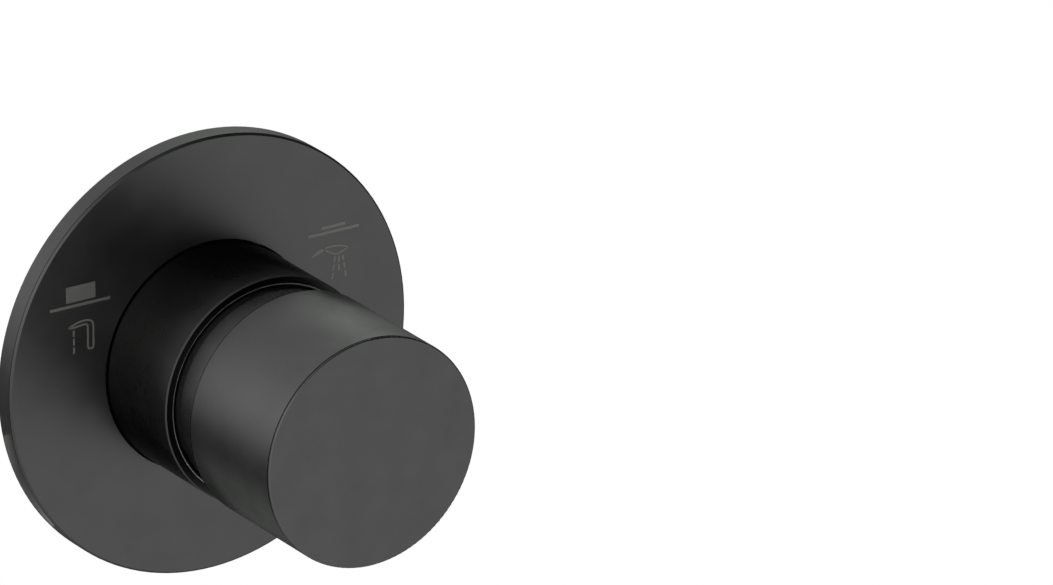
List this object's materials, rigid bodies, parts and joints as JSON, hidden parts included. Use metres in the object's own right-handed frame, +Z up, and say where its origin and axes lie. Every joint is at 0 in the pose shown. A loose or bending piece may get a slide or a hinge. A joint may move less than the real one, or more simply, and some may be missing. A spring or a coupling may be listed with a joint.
{
  "type": "shower diverter valve",
  "caption": "Concealed push-pull diverter valve: round wall plate, sleeve and cylindrical knob in dark satin metal, with a brass body that sends water to a bath spout or a hand shower.",
  "frame": {"origin": "centre of the wall plate's back face, on the finished wall", "axes": "+Y into the wall along the knob's axis, +Z up, +X towards the supply port"},
  "size_m": [0.09, 0.1452, 0.09],
  "materials": {
    "satin_anthracite": "satin",
    "cast_brass": "cast",
    "turned_brass": "turned",
    "stainless_steel": "satin",
    "sealing_foam": "matte",
    "guide_plastic": "matte",
    "seal_rubber": "satin"
  },
  "bodies": {
    "fixed_valve": {"wall_plate": "satin_anthracite", "plate_gasket": "sealing_foam", "plate_o_ring": "seal_rubber", "sleeve": "satin_anthracite", "sleeve_carrier": "turned_brass", "carrier_o_ring_1": "seal_rubber", "carrier_o_ring_2": "seal_rubber", "valve_body": "cast_brass", "bonnet": "turned_brass", "bonnet_o_ring": "seal_rubber", "bonnet_tail_o_ring": "seal_rubber", "gland_nut": "turned_brass", "packing_washer": "turned_brass", "spindle_o_ring_1": "seal_rubber", "spindle_o_ring_2": "seal_rubber", "return_spring": "stainless_steel"},
    "knob_and_spindle": {"knob": "satin_anthracite", "neck_guide_ring": "guide_plastic", "grub_screw": "stainless_steel", "handle_adapter": "turned_brass", "adapter_screw": "stainless_steel", "spindle": "turned_brass", "valve_disc": "turned_brass", "front_seat_washer": "seal_rubber", "rear_seat_washer": "seal_rubber", "back_washer": "stainless_steel", "disc_nut": "stainless_steel"}
  },
  "joints": [
    {"name": "knob_slide", "type": "slide", "parent": "fixed_valve", "child": "knob_and_spindle", "axis": [0, 1, 0], "range_m": [0, 0.008], "stiffness_N_per_m": 1380, "springref_m": -0.006, "deforming": ["return_spring"]}
  ]
}
